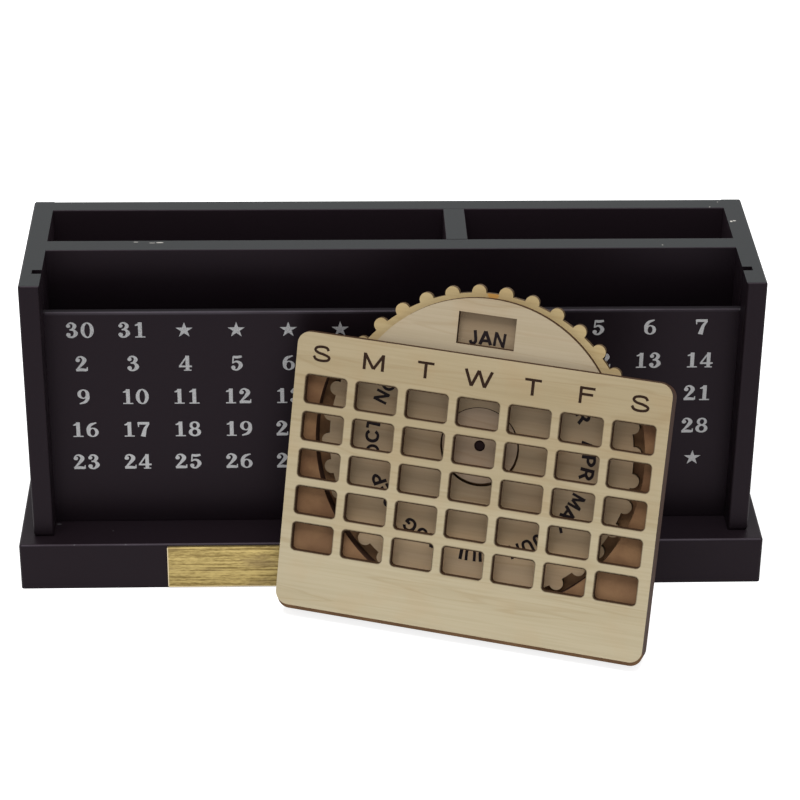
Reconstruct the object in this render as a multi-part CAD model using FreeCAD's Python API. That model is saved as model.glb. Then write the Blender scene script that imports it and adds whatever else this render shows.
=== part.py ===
import FreeCAD, Part
import math
import os

# Desk organizer with a perpetual number board, and a loose card with a month dial.
# Millimetres. X runs along the width, Y from front to back, +Z is up.
# The origin is the centre of the base board's underside.

V = FreeCAD.Vector

# ---------------------------------------------------------------------------
# Driving dimensions: the organizer
# ---------------------------------------------------------------------------
body_width = 284.0          # over the outer faces of the two cheeks
side_height = 110.5         # cheeks, middle panel, divider and back all end level
side_depth = 75.2           # cheek, front edge to back edge
side_thick = 8.0
back_thick = 8.0
middle_thick = 8.5
divider_thick = 8.5
divider_centre_x = 25.4     # the divider stands right of the middle
front_slot = 17.0           # between the number board and the middle panel
edge_round = 1.0            # outer edges of the painted boards
top_round = 0.5             # upper edges of the inner panels

base_thick = 20.2
base_side_overhang = 5.4
base_front_overhang = 6.8
base_back_overhang = 5.4
base_corner_round = 1.2

number_setback = 11.0       # number board's face behind the cheeks' front edges
number_thick = 3.0
number_height = 93.5
number_edge_round = 0.4
groove_depth = 3.7
groove_clear = 0.15         # each side of the number board in its groove
groove_end_clear = 0.3      # between the board's end and the groove's floor
number_foot_clear = 0.2     # between the board's lower edge and the base

plate_length = 178.4        # brass strip on the base's front edge
plate_height = 18.6
plate_thick = 1.0
plate_corner_round = 0.6

# Brads of square wire, which pin the glued joints
brad_size = 1.2
brad_bite = 16.0            # length inside the board that takes the point
brad_cover = 1.0            # filler over the head of each brad
brad_clear = 0.05           # between a brad and its hole
brad_rows = 3               # brads in each end of the middle and back panels
brad_margin = 18.0          # from a panel's top and bottom to its outer brads
base_brad_inset = 24.0      # from a cheek's ends to the brads under it
base_brad_spacing = 140.0   # between the brads under the middle and back panels

# ---------------------------------------------------------------------------
# Driving dimensions: the calendar card
# ---------------------------------------------------------------------------
sheet_thick = 2.7           # every cut sheet of the card's body
window_columns = 7
window_rows = 5
window_pitch_x = 20.0
window_pitch_y = 14.7
window_width = 16.2
window_height = 11.1
window_round = 1.5
window_corner_chords = 3    # the windows' small corner arcs are drawn as chords
card_side_margin = 4.7      # beside the outer windows, at least
card_top_margin = 16.75
card_corner_round = 5.0
backing_drop = 2.2          # the brown layers sit this much lower than the face

ring_radius = 59.4          # dial, between its knobs
knob_radius = 2.75
knob_count = 36
knob_phase = 3.9            # degrees, first knob from the top of the dial
knob_rise = 0.3             # the knobs' centres outside the ring
recess_clear = 1.25         # round the knobs, inside the spacers
spacer_side_wall = 7.0      # least wall beside the recess
spacer_bottom_wall = 9.2    # from the card's lower edge to the recess
dial_middle_x = 0.85        # the dial's centre right of the card's middle
dial_proud = 23.4           # the ring's top above the face sheet's upper edge
cover_setback = 5.9         # month cover's radius less than the ring's
cover_rise = 3.85           # month cover's centre above the pin
cover_hide = 2.4            # cover's lower edge above the top row of windows
month_window_width = 22.4
month_window_height = 12.4
month_window_rim = 6.15     # from the month window to the cover's crown
month_window_shift = 1.41   # the month window's middle left of the dial's centre
hub_radius = 14.7
hub_play = 0.7              # radial, between the hub and the hole in the dial
hub_top_clear = 0.2         # of that play, what is left above the hub as the dial hangs
pin_radius = 2.1
pin_chamfer = 0.4
pin_sink = 0.2              # the pin's end behind the hub's face
pin_glue_clear = 0.02       # radial, in the hub and the card's back
dial_face_clear = 0.2       # in front of and behind the turning dial

# How the card stands: outside the organizer, on its lower edge, leaning back.
card_turn = 17.45           # degrees, right side towards the front
card_lean = 17.05           # degrees back from upright
card_roll = -0.4            # degrees about its own face
card_middle_x = 28.06       # x of the middle of the window grid
card_floor_gap = 0.2
card_lean_gap = 0.3         # between the card and what it leans on

# ---------------------------------------------------------------------------
# Places that follow from the sizes
# ---------------------------------------------------------------------------
base_depth = base_front_overhang + side_depth + base_back_overhang
base_front_y = -base_depth / 2
base_half_width = body_width / 2 + base_side_overhang
side_front_y = base_front_y + base_front_overhang
side_back_y = side_front_y + side_depth
side_top_z = base_thick + side_height
inner_half_width = body_width / 2 - side_thick
number_face_y = side_front_y + number_setback
number_back_y = number_face_y + number_thick
middle_front_y = number_back_y + front_slot
middle_back_y = middle_front_y + middle_thick
back_front_y = side_back_y - back_thick
middle_y = (middle_front_y + middle_back_y) / 2
back_y = (back_front_y + side_back_y) / 2

knob_circle_radius = ring_radius + knob_rise
dial_hang = hub_play - hub_top_clear
recess_radius = knob_circle_radius + knob_radius + dial_hang + recess_clear
window_grid_width = (window_columns - 1) * window_pitch_x + window_width
window_grid_height = (window_rows - 1) * window_pitch_y + window_height
spacer_reach = recess_radius + spacer_side_wall + dial_middle_x
card_width = max(window_grid_width + 2 * card_side_margin, 2 * spacer_reach)
pin_y = spacer_bottom_wall + recess_radius
dial_middle_y = pin_y - dial_hang
card_height = dial_middle_y + ring_radius - dial_proud
grid_middle_y = card_height - card_top_margin - window_grid_height / 2
cover_radius = ring_radius - cover_setback
dial_thick = sheet_thick - 2 * dial_face_clear

# Depths of the card's layers behind its face, measured along -z of the card.
cover_face_z = -sheet_thick
dial_layer_z = -2 * sheet_thick
back_face_z = -3 * sheet_thick
card_rear_z = -4 * sheet_thick


# ---------------------------------------------------------------------------
# Small helpers
# ---------------------------------------------------------------------------
def block(x0, x1, y0, y1, z0, z1):
    """Box between two corners, given in any order."""
    low = V(min(x0, x1), min(y0, y1), min(z0, z1))
    return Part.makeBox(abs(x1 - x0), abs(y1 - y0), abs(z1 - z0), low)


def lies(edge, axis, value):
    """True when the whole edge has this x, y or z."""
    return all(abs(getattr(v.Point, axis) - value) < 1e-6 for v in edge.Vertexes)


def rounded(solid, radius, edges):
    """Round the edges, by no more than 0.45 of the shortest one."""
    limit = 0.45 * min(e.Length for e in solid.Edges)
    return solid.makeFillet(min(radius, limit), edges)


def slab(wires, z0, z1):
    """Plate between two heights: the first wire is the outline, the others are holes."""
    solid = Part.Face(wires[0]).extrude(V(0, 0, z1 - z0))
    solid.translate(V(0, 0, z0))
    for wire in wires[1:]:
        tool = Part.Face(wire).extrude(V(0, 0, z1 - z0 + 2))
        tool.translate(V(0, 0, z0 - 1))
        solid = solid.cut(tool)
    return solid


def rounded_rectangle(middle_x, middle_y, width, height, radius):
    """Closed wire of a rectangle with round corners, centred at a point."""
    corners = []
    for sx, sy, start in ((1, 1, 0), (-1, 1, 90), (-1, -1, 180), (1, -1, 270)):
        centre = V(middle_x + sx * (width / 2 - radius), middle_y + sy * (height / 2 - radius), 0)
        points = [centre + polar(radius, start + turn) for turn in (0, 45, 90)]
        corners.append(points)
    edges = []
    for index, points in enumerate(corners):
        edges.append(Part.Arc(*points).toShape())
        following = corners[(index + 1) % 4][0]
        edges.append(Part.makeLine(points[2], following))
    return Part.Wire(edges)


def chord_rectangle(middle_x, middle_y, width, height, radius):
    """Closed wire like rounded_rectangle, with its corner arcs drawn as chords."""
    points = []
    for sx, sy, start in ((1, 1, 0), (-1, 1, 90), (-1, -1, 180), (1, -1, 270)):
        centre = V(middle_x + sx * (width / 2 - radius), middle_y + sy * (height / 2 - radius), 0)
        for step in range(window_corner_chords + 1):
            points.append(centre + polar(radius, start + 90 * step / window_corner_chords))
    return Part.makePolygon(points + points[:1])


def polar(radius, degrees):
    """Point at an angle from +x in the card's plane."""
    return V(radius * math.cos(math.radians(degrees)), radius * math.sin(math.radians(degrees)), 0)


def disc(radius, z0, z1, middle_y=pin_y):
    """Round plate between two heights, centred on the pin unless it is given another y."""
    return Part.makeCylinder(radius, z1 - z0, V(dial_middle_x, middle_y, z0))


# ---------------------------------------------------------------------------
# Brads and their holes: with clear above 0, these are the holes
# ---------------------------------------------------------------------------
def side_brads(clear=0.0):
    """Brads through the cheeks into the ends of the middle and back panels."""
    half = brad_size / 2 + clear
    head_x = body_width / 2 - brad_cover + clear
    point_x = inner_half_width - brad_bite - clear
    step = (side_height - 2 * brad_margin) / (brad_rows - 1)
    brads = []
    for sign in (-1, 1):
        for y in (middle_y, back_y):
            for row in range(brad_rows):
                z = base_thick + brad_margin + row * step
                ends = (sign * point_x, sign * head_x)
                brads.append(block(*ends, y - half, y + half, z - half, z + half))
    return brads


def foot_brads(clear=0.0):
    """Brads up through the base into the cheeks and into the middle and back panels."""
    half = brad_size / 2 + clear
    head_z = brad_cover - clear
    point_z = base_thick + brad_bite + clear
    brads = []
    for sign in (-1, 1):
        cheek_x = sign * (body_width / 2 - side_thick / 2)
        panel_x = sign * base_brad_spacing / 2
        places = [
            (cheek_x, side_front_y + base_brad_inset),
            (cheek_x, side_back_y - base_brad_inset),
            (panel_x, middle_y),
            (panel_x, back_y),
        ]
        for x, y in places:
            brads.append(block(x - half, x + half, y - half, y + half, head_z, point_z))
    return brads


def drilled(board):
    """Board less the brad holes that reach it."""
    holes = side_brads(brad_clear) + foot_brads(brad_clear)
    near = [hole for hole in holes if hole.BoundBox.intersect(board.BoundBox)]
    return board.cut(near)


# ---------------------------------------------------------------------------
# The organizer
# ---------------------------------------------------------------------------
def base_board():
    """Thick slab with rounded corners and upper rim."""
    board = block(-base_half_width, base_half_width, base_front_y, -base_front_y, 0, base_thick)
    upright = [e for e in board.Edges if abs(e.Vertexes[0].Z - e.Vertexes[1].Z) > 1e-6]
    board = rounded(board, base_corner_round, upright)
    rim = [e for e in board.Edges if lies(e, "z", base_thick)]
    board = board.makeFillet(min(edge_round, 0.9 * base_corner_round), rim)
    return drilled(board)


def side_board(sign):
    """Upright cheek, grooved inside for the number board. The sign is -1 on the left."""
    outer = sign * body_width / 2
    inner = sign * inner_half_width
    board = block(outer, inner, side_front_y, side_back_y, base_thick, side_top_z)
    edges = [e for e in board.Edges if lies(e, "x", outer) or lies(e, "y", side_front_y)]
    board = rounded(board, edge_round, edges)
    groove = block(
        inner - sign,
        inner + sign * groove_depth,
        number_face_y - groove_clear,
        number_back_y + groove_clear,
        base_thick - 1,
        side_top_z + 1,
    )
    return drilled(board.cut(groove))


def cross_panel(front_y, rear_y):
    """Panel between the cheeks, with its two upper edges eased."""
    board = block(-inner_half_width, inner_half_width, front_y, rear_y, base_thick, side_top_z)
    return eased(board)


def eased(board):
    """Ease the long upper edges of a panel."""
    top = [e for e in board.Edges if lies(e, "z", side_top_z)]
    top.sort(key=lambda e: -e.Length)
    return rounded(board, top_round, top[:2])


def middle_panel():
    """Partition behind the front slot."""
    return drilled(cross_panel(middle_front_y, middle_back_y))


def back_panel():
    """Rear wall."""
    return drilled(cross_panel(back_front_y, side_back_y))


def rear_divider():
    """Short partition that splits the rear compartment in two."""
    half = divider_thick / 2
    left = divider_centre_x - half
    right = divider_centre_x + half
    board = block(left, right, middle_back_y, back_front_y, base_thick, side_top_z)
    return eased(board)


def number_panel():
    """Thin board that slides down the cheeks' grooves."""
    half = inner_half_width + groove_depth - groove_end_clear
    low = base_thick + number_foot_clear
    top = low + number_height
    board = block(-half, half, number_face_y, number_back_y, low, top)
    rims = [e for e in board.Edges if lies(e, "z", top) and e.Length > number_thick + 1e-6]
    return rounded(board, number_edge_round, rims)


def name_plate():
    """Blank brass strip, flat against the base's front edge."""
    outline = rounded_rectangle(0, base_thick / 2, plate_length, plate_height, plate_corner_round)
    plate = slab([outline], 0, plate_thick)
    plate.rotate(V(0, 0, 0), V(1, 0, 0), 90)
    plate.translate(V(0, base_front_y, 0))
    return plate


def base_brads():
    """All the brads that pin the uprights to the base."""
    return Part.makeCompound(foot_brads())


def panel_brads():
    """All the brads that pin the cheeks to the panels."""
    return Part.makeCompound(side_brads())


# ---------------------------------------------------------------------------
# The calendar card, built flat: x right, y up from its lower edge, z towards the reader
# ---------------------------------------------------------------------------
def card_outline(drop=0.0):
    """Outer wire of the card, lowered by drop."""
    return rounded_rectangle(0, card_height / 2 - drop, card_width, card_height, card_corner_round)


def window_plate():
    """Face sheet with its grid of round-cornered windows."""
    windows = []
    for column in range(window_columns):
        for row in range(window_rows):
            x = (column - (window_columns - 1) / 2) * window_pitch_x
            y = grid_middle_y + (row - (window_rows - 1) / 2) * window_pitch_y
            windows.append(chord_rectangle(x, y, window_width, window_height, window_round))
    return slab([card_outline()] + windows, -sheet_thick, 0)


def month_cover():
    """Arch glued behind the face sheet, with the window that shows one month."""
    low = card_height - card_top_margin + cover_hide
    cover_y = pin_y + cover_rise
    crown_y = cover_y + cover_radius
    half = math.sqrt(cover_radius ** 2 - (low - cover_y) ** 2)
    left = V(dial_middle_x - half, low, 0)
    right = V(dial_middle_x + half, low, 0)
    crown = Part.Arc(right, V(dial_middle_x, crown_y, 0), left).toShape()
    outline = Part.Wire([crown, Part.makeLine(left, right)])
    window_x = dial_middle_x - month_window_shift
    window_y = crown_y - month_window_rim - month_window_height / 2
    corners = []
    for sx, sy in ((-1, -1), (1, -1), (1, 1), (-1, 1)):
        x = window_x + sx * month_window_width / 2
        corners.append(V(x, window_y + sy * month_window_height / 2, 0))
    window = Part.makePolygon(corners + corners[:1])
    return slab([outline, window], cover_face_z - sheet_thick, cover_face_z)


def spacer(top_z):
    """Frame round the dial's recess, which is open at the top."""
    body = slab([card_outline(backing_drop)], top_z - sheet_thick, top_z)
    return body.cut(disc(recess_radius, top_z - sheet_thick - 1, top_z + 1))


def pin_bore(z0, z1):
    """Tool that bores a sheet lying between two heights for the glued pin."""
    return disc(pin_radius + pin_glue_clear, z0 - 1, z1 + 1)


def card_back():
    """Rear sheet, bored for the pin."""
    body = slab([card_outline(backing_drop)], card_rear_z, back_face_z)
    return body.cut(pin_bore(card_rear_z, back_face_z))


def month_dial():
    """Ring with round knobs on its rim, which hangs on the hub.

    Going round, an arc over a knob and an arc of the ring take turns. They meet where the two
    circles cross, at an angle given by the law of cosines.
    """
    centre = V(dial_middle_x, dial_middle_y, 0)
    pitch = 360.0 / knob_count
    reach = ring_radius ** 2 + knob_circle_radius ** 2 - knob_radius ** 2
    crossing = math.degrees(math.acos(reach / (2 * ring_radius * knob_circle_radius)))
    edges = []
    for index in range(knob_count):
        angle = 90 - knob_phase - index * pitch
        start = centre + polar(ring_radius, angle + crossing)
        tip = centre + polar(knob_circle_radius + knob_radius, angle)
        end = centre + polar(ring_radius, angle - crossing)
        between = centre + polar(ring_radius, angle - pitch / 2)
        following = centre + polar(ring_radius, angle - pitch + crossing)
        edges.append(Part.Arc(start, tip, end).toShape())
        edges.append(Part.Arc(end, between, following).toShape())
    face_z = dial_layer_z - dial_face_clear
    body = slab([Part.Wire(edges)], face_z - dial_thick, face_z)
    return body.cut(disc(hub_radius + hub_play, card_rear_z, 0, dial_middle_y))


def hub_washer():
    """Disc pinned and glued on the card's back, which the dial hangs on and turns round."""
    return disc(hub_radius, back_face_z, dial_layer_z).cut(pin_bore(back_face_z, dial_layer_z))


def dial_pin():
    """Pin glued through the hub into the card's back."""
    high = dial_layer_z - pin_sink
    body = disc(pin_radius, card_rear_z, high)
    rim = [e for e in body.Edges if lies(e, "z", high)]
    return body.makeChamfer(pin_chamfer, rim)


def card_pieces():
    """Every piece of the card, still flat."""
    return {
        "window_plate": window_plate(),
        "month_cover": month_cover(),
        "upper_spacer": spacer(cover_face_z),
        "lower_spacer": spacer(dial_layer_z),
        "card_back": card_back(),
        "month_dial": month_dial(),
        "hub_washer": hub_washer(),
        "dial_pin": dial_pin(),
    }


# ---------------------------------------------------------------------------
# Standing the card against the organizer
# ---------------------------------------------------------------------------
def card_rotation():
    """Flat card to leaning card: upright, rolled, leaned back, then turned."""
    upright = FreeCAD.Rotation(V(1, 0, 0), 90)
    roll = FreeCAD.Rotation(V(0, -1, 0), card_roll)
    lean = FreeCAD.Rotation(V(-1, 0, 0), card_lean)
    turn = FreeCAD.Rotation(V(0, 0, 1), -card_turn)
    return turn.multiply(lean).multiply(roll).multiply(upright)


def card_placement(pieces):
    """Where the card rests.

    It is lowered until its lowest point is card_floor_gap above the floor, and moved back until
    it is card_lean_gap from the number board above the base, or from the name plate beside it.
    """
    rotation = card_rotation()
    stack = Part.makeCompound(list(pieces.values()))
    stack.Placement = FreeCAD.Placement(V(0, 0, 0), rotation)
    lift = card_floor_gap - stack.optimalBoundingBox(False).ZMin
    across = card_middle_x - rotation.multVec(V(0, grid_middle_y, 0)).x
    stack.translate(V(across, 0, lift))
    reach = stack.optimalBoundingBox(False)
    below = block(reach.XMin - 1, reach.XMax + 1, reach.YMin - 1, reach.YMax + 1, -1, base_thick)
    foot = pieces["card_back"].copy()
    foot.Placement = FreeCAD.Placement(V(across, 0, lift), rotation)
    foot_reach = foot.common(below).optimalBoundingBox(False).YMax
    to_board = number_face_y - card_lean_gap - reach.YMax
    to_plate = base_front_y - plate_thick - card_lean_gap - foot_reach
    return FreeCAD.Placement(V(across, min(to_board, to_plate), lift), rotation)


def build():
    """Every node of the model, by name."""
    nodes = {
        "base_board": base_board(),
        "left_side": side_board(-1),
        "right_side": side_board(1),
        "back_panel": back_panel(),
        "middle_panel": middle_panel(),
        "rear_divider": rear_divider(),
        "name_plate": name_plate(),
        "base_brads": base_brads(),
        "panel_brads": panel_brads(),
        "number_panel": number_panel(),
    }
    pieces = card_pieces()
    placement = card_placement(pieces)
    for name, shape in pieces.items():
        shape.Placement = placement.multiply(shape.Placement)
        nodes[name] = shape
    middle = placement.multVec(V(dial_middle_x, dial_middle_y, 0))
    axis = placement.Rotation.multVec(V(0, 0, 1))
    print("card corner", [round(c, 4) for c in placement.Base])
    print("dial middle", [round(c, 4) for c in middle], "axis", [round(c, 6) for c in axis])
    return nodes


os.makedirs("parts", exist_ok=True)
for node_name, node_shape in build().items():
    node_shape.exportStep("parts/" + node_name + ".step")
    print(node_name, node_shape.isValid(), len(node_shape.Solids), round(node_shape.Volume, 1))
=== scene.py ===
import math

import bmesh
import bpy
import numpy as np
from mathutils import Matrix, Vector


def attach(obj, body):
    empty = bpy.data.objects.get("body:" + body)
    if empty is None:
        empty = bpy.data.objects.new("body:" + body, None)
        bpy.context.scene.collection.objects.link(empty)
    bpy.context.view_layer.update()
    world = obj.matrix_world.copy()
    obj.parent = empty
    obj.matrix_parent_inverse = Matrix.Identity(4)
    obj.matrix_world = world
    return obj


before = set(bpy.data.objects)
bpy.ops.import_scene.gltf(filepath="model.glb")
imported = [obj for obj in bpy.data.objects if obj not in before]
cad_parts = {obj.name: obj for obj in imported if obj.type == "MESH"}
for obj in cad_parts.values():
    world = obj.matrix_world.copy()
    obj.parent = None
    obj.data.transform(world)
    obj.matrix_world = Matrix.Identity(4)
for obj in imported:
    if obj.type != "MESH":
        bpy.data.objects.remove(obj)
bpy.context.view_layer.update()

MM = 0.001

# ---------------------------------------------------------------------------
# Camera and light: places in metres, angles in degrees, lens and sensor in millimetres
# ---------------------------------------------------------------------------
camera_place = (-0.030676, -0.955222, 0.59377)
camera_angles = (2.7884, -29.3713, 0.966)    # yaw to the right, pitch and roll
camera_lens = 122.37
camera_sensor = 36
camera_shift = (-0.0375, 0.0125)             # in widths of the sensor
lamp_place = (-0.06, -0.22, 1.28)
lamp_target = (0, -0.03, 0.06)
lamp_side = 0.8
lamp_watts = 15
world_strength = 0.36
paper_white = 0.82
paper_seen_lift = 0.8        # brings the paper to white for the camera
paper_gloss_lift = 0.27
floor_half = 3.0
floor_drop = 0.0001          # keeps the floor just below the object's underside

# ---------------------------------------------------------------------------
# Places and sizes, in millimetres and degrees
# ---------------------------------------------------------------------------
number_face_y = -25.9        # front of the sliding number board
number_pitch_x = 20.0
number_pitch_z = 14.65
number_top_row_z = 106.35    # middle of the top row's digits
number_middle_x = -0.6       # middle of the middle column
digit_height = 6.55
digit_width = 7.0            # one unit of a digit's outline, sideways
digit_step = 5.75            # from one digit to the next in a pair
star_radius = 3.45
star_waist = 0.382           # a regular star's inner radius over its outer one
star_drop = 0.2              # a star's middle below its row's
ink_proud = 0.05             # the print stands out by this
burn_proud = 0.03            # burnt letters stand out by this
mark_sunk = 0.05             # how far print and burnt letters reach into the surface
layer_step = 0.004           # each further stroke is this much prouder, so no two share a plane

card_foot = (22.6499, -86.797, 5.9225)   # middle of the card's lower front edge
card_turn = 17.45            # its right side towards the reader
card_lean = 17.05            # its top away from the reader
card_roll = -0.4
grid_middle_y = 57.2         # middle of the card's windows
window_pitch = (20.0, 14.7)
window_columns = 7
window_rows = 5
window_half = (8.1, 5.55)
window_round = 1.5
# The face sheet's rim round each window: real laser scorch, darkened further as painted shade
painted_shade_shift = (-0.15, 0.2)  # painted shade: pushes the darkening up and to the left, along each window's top and left edges
scorch_and_shade_width = 0.7
scorch_and_shade_end = 0.3             # the scorch and painted shade fade out over this at the edge of the grid
letter_height = 6.45
letter_width = 7.0
letter_pen = 0.5             # half the width of a weekday letter's stroke
letter_stretch = {"S": 1.06, "M": 1.20, "T": 1.19, "W": 1.26, "F": 1.11}
letter_places = (            # middles of the weekday letters, from Sunday
    (-62.85, 101.0), (-42.2, 100.75), (-21.8, 100.7), (-1.1, 100.4),
    (19.95, 100.25), (41.0, 100.2), (61.1, 100.1),
)

dial_middle = (0.85, 72.9)
dial_face_z = -5.6           # how deep the dial's front lies in the card
month_radius = 42.4          # to the middle of the names' height
month_height = 5.45
month_pen = 0.1              # half the width of a stroke, in letter heights
# How far each month name is turned from its twelfth of the ring, from January
month_turns = (-2.0, -2.2, -2.4, -1.4, -1.5, -1.5, -1.1, -2.8, -2.6, -4.0, -3.6, -3.0)

plate_half_length = 89.2
plate_low_z = 0.8            # lower edge of the brass plate
plate_bevel = 0.45           # width of its bright border, a painted highlight on its ends and foot

# Where a tone starts and where it is full, in z, x, or y up the card
# grey on the top edges above this height: partly dust, partly painted sheen
dust_and_sheen_z = (108, 126)
lighter_print_z = (108, 48)     # the print is lighter in the low rows
lighter_print_x = (40, 100)     # and on the right
brass_shade_z = (19, 3)          # painted shade: the brass darkens towards its foot
face_high_y = (12, 105)      # the face sheet turns to its upper colour
shaded_radius = (55.5, 53.5)  # painted shade on the dial inside this radius, under the month cover
shaded_low_y = (112, 102)    # and below this height, under the face sheet
dial_low_y = (50, 28)        # the painted shade is lighter again low down
board_low_y = (50, 22)       # the brown sheets are paler low down

# Chips and scuffs of the black paint: centre, radius, and how far each axis is squeezed
paint_chips = (
    ((-90.3, 0.6, 130.7), 0.8, (0.6, 2.4, 1.0)),
    ((-93.3, 0.3, 130.7), 0.5, (0.4, 3.0, 1.0)),
    ((-99.6, 1.1, 130.7), 0.45, (0.5, 2.4, 1.0)),
    ((-116.9, 2.7, 130.7), 0.25, (1.0, 1.0, 1.0)),
    ((135.3, 17.6, 130.7), 0.5, (1.0, 0.8, 1.0)),
    ((136.6, 18.2, 130.7), 0.45, (0.7, 1.0, 1.0)),
    ((132.2, 35.8, 130.7), 0.25, (1.0, 1.0, 1.0)),
    ((128.5, 31.2, 130.7), 0.25, (1.0, 1.0, 1.0)),
    ((105.5, -3.4, 130.7), 0.25, (1.0, 1.0, 1.0)),
)
paint_scuffs = (
    ((133.3, 17.0, 128.6), 0.9, (1.0, 1.8, 0.6)),
    ((134.0, -25.6, 113.6), 0.4, (0.7, 1.0, 1.0)),
    ((-132.7, -27.9, 20.2), 0.6, (0.6, 1.6, 1.0)),
    ((-111.0, -33.2, 20.2), 0.3, (1.0, 1.0, 1.0)),
    ((-125.6, -43.4, 20.2), 0.4, (1.0, 1.0, 1.0)),
    ((-105.5, -43.4, 20.2), 0.4, (1.0, 1.0, 1.0)),
)
# The rear compartments, their black lifted lighter inside as painted light: front, back, half
# width and top
rear_room = (2.4, 30.5, 134.2, 130.4)
# Long edges lighter in patches, partly worn by rubbing and partly painted highlight: y and z of
# the edge, how far the lightening reaches, half its length
rubbed_and_highlit_edges = ((-43.7, 20.2, 0.8, 147.0), (-25.9, 113.9, 1.3, 133.5))

# ---------------------------------------------------------------------------
# Colours
# ---------------------------------------------------------------------------
paint_warm = (0.0080, 0.0047, 0.0064, 1)
paint_cool = (0.0072, 0.0051, 0.0070, 1)
paint_inside_painted_light = (0.0175, 0.0115, 0.0150, 1)
paint_sheen = (1.0, 0.80, 0.95, 1)
# grey of the top edges: partly dust, partly painted sheen
paint_dust_and_sheen = (0.0226, 0.0284, 0.0276, 1)
# lighter long edges: partly worn paint, partly painted highlight
paint_rubbed_and_highlight = (0.062, 0.055, 0.066, 1)
paint_scuffed = (0.11, 0.11, 0.115, 1)
primer = (0.50, 0.48, 0.44, 1)
ink_thin = (0.31, 0.31, 0.32, 1)
ink_full = (0.50, 0.50, 0.51, 1)
ink_lightest = (0.66, 0.66, 0.67, 1)
brass_dark = (0.235, 0.168, 0.060, 1)
brass_light = (0.59, 0.455, 0.182, 1)
brass_dull = (0.20, 0.14, 0.075, 1)
# painted highlight on the plate's ends and foot
brass_highlight = (0.74, 0.63, 0.42, 1)
brass_foot_shade = (0.80, 0.80, 0.80, 1)       # multiplied in, as painted shade towards the foot
steel_dark = (0.35, 0.35, 0.34, 1)
steel_light = (0.5, 0.5, 0.49, 1)
face_low = (0.58, 0.50, 0.34, 1)
face_high = (0.48, 0.39, 0.245, 1)
cover_pale = (0.49, 0.405, 0.28, 1)
hub_pale = (0.46, 0.345, 0.245, 1)
dial_pale = (0.55, 0.425, 0.225, 1)
# painted shade: the dial's colour where the month cover and the face sheet shade it
dial_painted_shade = (0.45, 0.335, 0.215, 1)
dial_shade = (0.234, 0.175, 0.111, 1)
dial_amber = (0.56, 0.27, 0.055, 1)
grain_fine = (0.80, 0.77, 0.70, 1)          # these four are multiplied in
grain_broad = (0.86, 0.83, 0.77, 1)
grain_ring = (0.85, 0.79, 0.72, 1)
grain_patch = (1.0, 0.93, 0.87, 1)
char_brown = (0.055, 0.027, 0.013, 1)
char_light = (0.11, 0.07, 0.035, 1)
# laser scorch round the windows, darkened further as painted shade
scorch_and_shade_brown = (0.040, 0.021, 0.010, 1)
board_dark = (0.185, 0.092, 0.045, 1)
board_light = (0.315, 0.175, 0.085, 1)
board_speck = (0.10, 0.050, 0.025, 1)
board_pale = (0.40, 0.235, 0.125, 1)
board_edge = (0.060, 0.030, 0.020, 1)
burnt_dark = (0.022, 0.011, 0.007, 1)
burnt_light = (0.040, 0.021, 0.013, 1)
month_dark = (0.010, 0.007, 0.009, 1)
month_light = (0.022, 0.015, 0.016, 1)
pin_dark = (0.010, 0.004, 0.004, 1)
pin_light = (0.022, 0.009, 0.009, 1)

# A real amber mark on the dial, and a patch of painted shade behind the January window: colour,
# strength, clock angle, distance out, size and squeeze
dial_stains_and_painted_shade = (
    (dial_amber, 0.85, -0.8, 58.9, 1.6, (0.72, 1.3, 1.0)),
    (dial_shade, 0.5, 0.0, 45.0, 11.0, (0.75, 1.15, 1.0)),
)
# How strongly a tone is laid over, and how much lighter or darker another one is
scuff_strength = 0.5
lighter_print_strength = 0.55
dull_strength = 0.6
bevel_highlight_strength = 0.85
board_speck_strength = 0.30
board_low_strength = 0.32
# how much lighter the dial's painted shade is low down
dial_low_lift = 1.5
char_speck_shade = 0.55
# painted shade on the upper spacer, behind the face sheet
board_painted_shade = 0.9

# Wood noise, per metre along x, y and z of the flat card
fibre_fine = (25, 900, 500)
fibre_broad = (5, 48, 50)
ring_spacing = 0.11          # in the level of the broad noise

# ---------------------------------------------------------------------------
# Frames of the card and the number board
# ---------------------------------------------------------------------------
# The card lies flat in its own frame: x right, y up the card, z towards the reader.
CARD = (
    Matrix.Translation(Vector(card_foot) * MM)
    @ Matrix.Rotation(math.radians(-card_turn), 4, "Z")
    @ Matrix.Rotation(math.radians(card_lean), 4, Vector((-1, 0, 0)))
    @ Matrix.Rotation(math.radians(card_roll), 4, Vector((0, -1, 0)))
    @ Matrix.Rotation(math.radians(90), 4, "X")
)
# The number board's front: x right, y up, z towards the reader.
BOARD = Matrix.Translation((0, number_face_y * MM, 0)) @ Matrix.Rotation(math.radians(90), 4, "X")
CARD_NORMAL = CARD.to_3x3() @ Vector((0, 0, 1))


# ---------------------------------------------------------------------------
# Camera, light and floor
# ---------------------------------------------------------------------------
def stand_camera():
    """Camera from its yaw, pitch and roll, with a long lens."""
    yaw, pitch, roll = (math.radians(a) for a in camera_angles)
    ahead = Vector(
        (math.sin(yaw) * math.cos(pitch), math.cos(yaw) * math.cos(pitch), math.sin(pitch))
    )
    level = Vector((math.cos(yaw), -math.sin(yaw), 0))
    above = level.cross(ahead)
    across = level * math.cos(roll) + above * math.sin(roll)
    upward = above * math.cos(roll) - level * math.sin(roll)
    turn = Matrix((across, upward, -ahead)).transposed()
    data = bpy.data.cameras.new("camera")
    data.sensor_width = camera_sensor
    data.lens = camera_lens
    data.shift_x, data.shift_y = camera_shift
    camera = bpy.data.objects.new("camera", data)
    camera.matrix_world = Matrix.Translation(camera_place) @ turn.to_4x4()
    bpy.context.scene.collection.objects.link(camera)
    bpy.context.scene.camera = camera


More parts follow.
